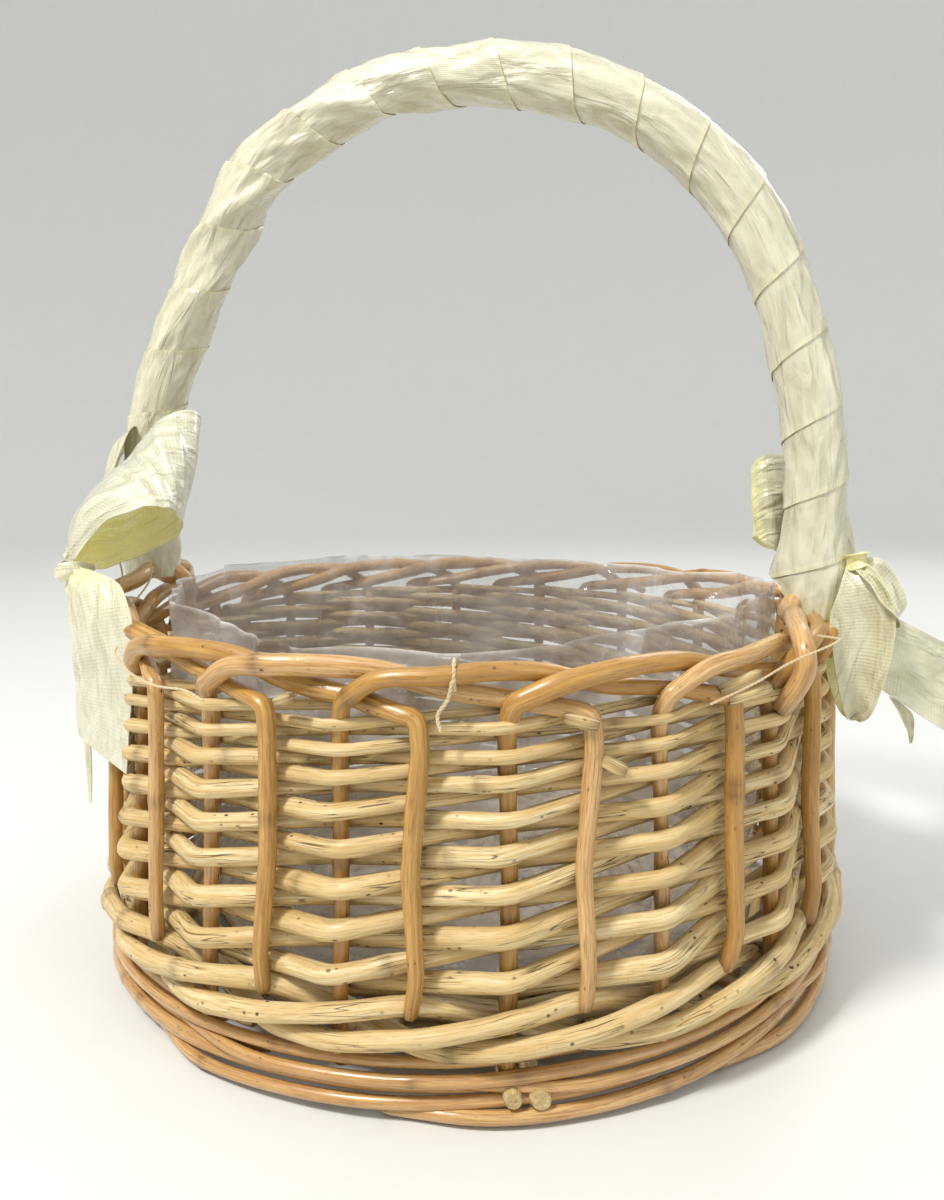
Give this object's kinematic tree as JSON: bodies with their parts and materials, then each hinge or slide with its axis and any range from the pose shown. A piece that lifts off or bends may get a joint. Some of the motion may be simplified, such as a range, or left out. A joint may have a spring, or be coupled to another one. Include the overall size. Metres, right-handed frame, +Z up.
{
  "type": "flower girl basket",
  "caption": "Round willow flower girl basket with woven side, plaited border, satin-wrapped hoop handle, ribbon bows and a clear film liner.",
  "frame": {"origin": "middle of the base's underside, on the surface that the basket stands on", "axes": "+Z up; the handle runs from -X to +X; the front of the basket is -Y"},
  "size_m": [0.2695, 0.2158, 0.2479],
  "materials": {
    "straw": "peeled pale willow, matt, with dark specks",
    "honey": "smooth honey-brown willow with a slight sheen",
    "amber": "varnished amber willow",
    "satin": "ivory polyester satin ribbon, shiny face",
    "film": "thin clear crinkled film",
    "thread": "natural twisted thread"
  },
  "bodies": {
    "root": {"base_stick_1": "straw", "base_stick_2": "straw", "base_stick_3": "straw", "base_stick_4": "straw", "base_stick_5": "straw", "base_stick_6": "straw", "base_weaver_1": "straw", "base_weaver_2": "straw", "base_weaver_3": "straw", "bow_left_loop": "satin", "bow_left_tail": "satin", "bow_right_loop": "satin", "bow_right_tail": "satin", "foot_rod_1": "amber", "foot_rod_2": "amber", "handle_rod_back": "honey", "handle_rod_front": "honey", "handle_rod_middle": "honey", "handle_wrap": "satin", "liner_film": "film", "liner_thread": "thread", "side_weaver_01": "straw", "side_weaver_02": "straw", "side_weaver_03": "straw", "side_weaver_04": "straw", "side_weaver_05": "straw", "side_weaver_06": "straw", "side_weaver_07": "straw", "side_weaver_08": "straw", "side_weaver_09": "straw", "side_weaver_10": "straw", "side_weaver_11": "straw", "side_weaver_12": "straw", "side_weaver_13": "straw", "side_weaver_14": "straw", "side_weaver_15": "straw", "side_weaver_16": "straw", "side_weaver_17": "straw", "side_weaver_18": "straw", "stake_01": "honey", "stake_02": "honey", "stake_03": "honey", "stake_04": "honey", "stake_05": "honey", "stake_06": "honey", "stake_07": "honey", "stake_08": "honey", "stake_09": "honey", "stake_10": "honey", "stake_11": "honey", "stake_12": "honey", "stake_13": "honey", "stake_14": "honey", "stake_15": "honey", "stake_16": "honey", "stake_17": "honey", "stake_18": "honey", "wale_rod_1": "straw", "wale_rod_2": "straw", "wale_rod_3": "straw"}
  },
  "joints": []
}
